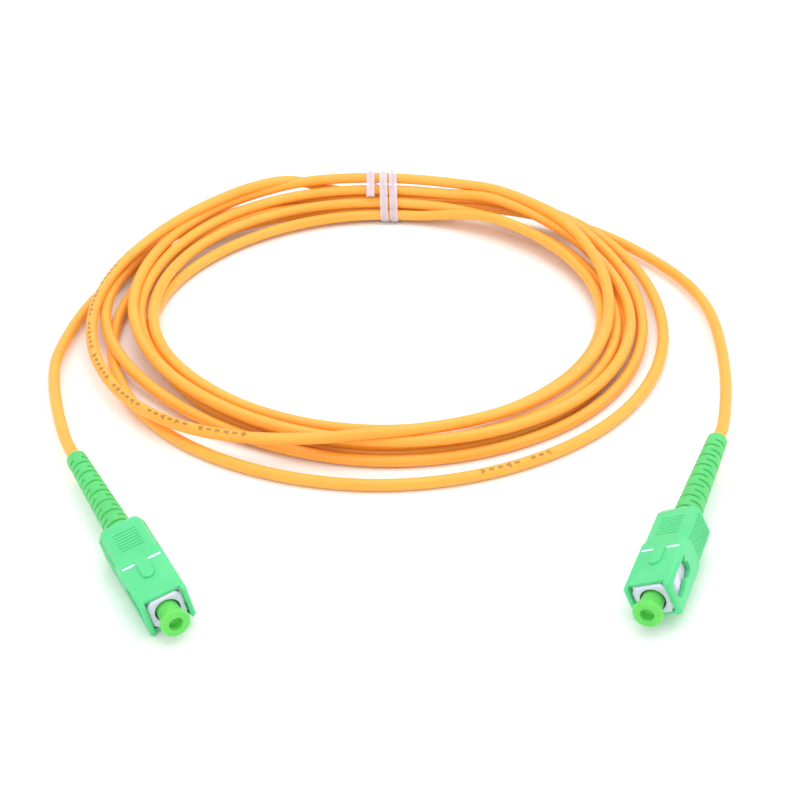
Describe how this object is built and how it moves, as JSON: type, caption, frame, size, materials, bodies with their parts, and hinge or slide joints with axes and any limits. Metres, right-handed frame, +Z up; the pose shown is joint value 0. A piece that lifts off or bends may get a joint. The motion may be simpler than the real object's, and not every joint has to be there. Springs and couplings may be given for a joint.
{
  "type": "fiber optic patch cord",
  "caption": "Simplex fibre optic patch cord: green angled push-pull plugs with dust caps and slotted boots on a thin orange-yellow cable coiled and bound with a twist tie",
  "frame": {"origin": "on the floor, under the middle of the box round the plugs and the tie", "axes": "+Z up from the floor, +Y from the plugs' noses toward the tied side of the coil, +X toward the right-hand plug"},
  "size_m": [0.1477, 0.1747, 0.0115],
  "materials": {
    "housing": "moulded green PBT, satin",
    "boot": "green thermoplastic elastomer, satin",
    "cap": "translucent green polyethylene",
    "frame": "white PBT, satin",
    "ceramic": "polished white zirconia",
    "metal": "turned nickel-plated metal",
    "spring": "drawn spring steel",
    "crimp": "crimped",
    "glass": "bare silica",
    "buffer": "0.9 mm tight buffer",
    "aramid": "woven aramid yarn",
    "cord": "yellow-orange extruded jacket",
    "tie": "translucent white plastic ribbon",
    "wire": "soft iron wire"
  },
  "bodies": {
    "cord": {"cable_coil": "cord", "cable_tail_left": "cord", "cable_tail_right": "cord", "twist_tie": "tie", "tie_wire": "wire", "plug_frame_left": "frame", "spring_left": "spring", "stop_ring_left": "metal", "aramid_sleeve_left": "aramid", "crimp_ring_left": "crimp", "boot_left": "boot", "plug_frame_right": "frame", "spring_right": "spring", "stop_ring_right": "metal", "aramid_sleeve_right": "aramid", "crimp_ring_right": "crimp", "boot_right": "boot"},
    "grip_left": {"outer_housing_left": "housing"},
    "ferrule_left": {"ferrule_left": "ceramic", "ferrule_flange_left": "metal", "optical_fibre_left": "glass", "tight_buffer_left": "buffer"},
    "cap_left": {"dust_cap_left": "cap"},
    "grip_right": {"outer_housing_right": "housing"},
    "ferrule_right": {"ferrule_right": "ceramic", "ferrule_flange_right": "metal", "optical_fibre_right": "glass", "tight_buffer_right": "buffer"},
    "cap_right": {"dust_cap_right": "cap"}
  },
  "joints": [
    {"name": "grip_slide_left", "type": "slide", "parent": "cord", "child": "grip_left", "axis": [-0.4305, 0.9026, 0.0052], "range_m": [0, 0.0015]},
    {"name": "ferrule_float_left", "type": "slide", "parent": "cord", "child": "ferrule_left", "axis": [-0.4305, 0.9026, 0.0052], "range_m": [0, 0.0012], "stiffness_N_per_m": 2500, "springref_m": -0.0025, "deforming": ["spring_left"]},
    {"name": "cap_pull_left", "type": "slide", "parent": "ferrule_left", "child": "cap_left", "axis": [0.4305, -0.9026, -0.0052], "range_m": [0, 0.012]},
    {"name": "grip_slide_right", "type": "slide", "parent": "cord", "child": "grip_right", "axis": [0.3403, 0.94, 0.0262], "range_m": [0, 0.0015]},
    {"name": "ferrule_float_right", "type": "slide", "parent": "cord", "child": "ferrule_right", "axis": [0.3403, 0.94, 0.0262], "range_m": [0, 0.0012], "stiffness_N_per_m": 2500, "springref_m": -0.0025, "deforming": ["spring_right"]},
    {"name": "cap_pull_right", "type": "slide", "parent": "ferrule_right", "child": "cap_right", "axis": [-0.3403, -0.94, -0.0262], "range_m": [0, 0.012]}
  ]
}
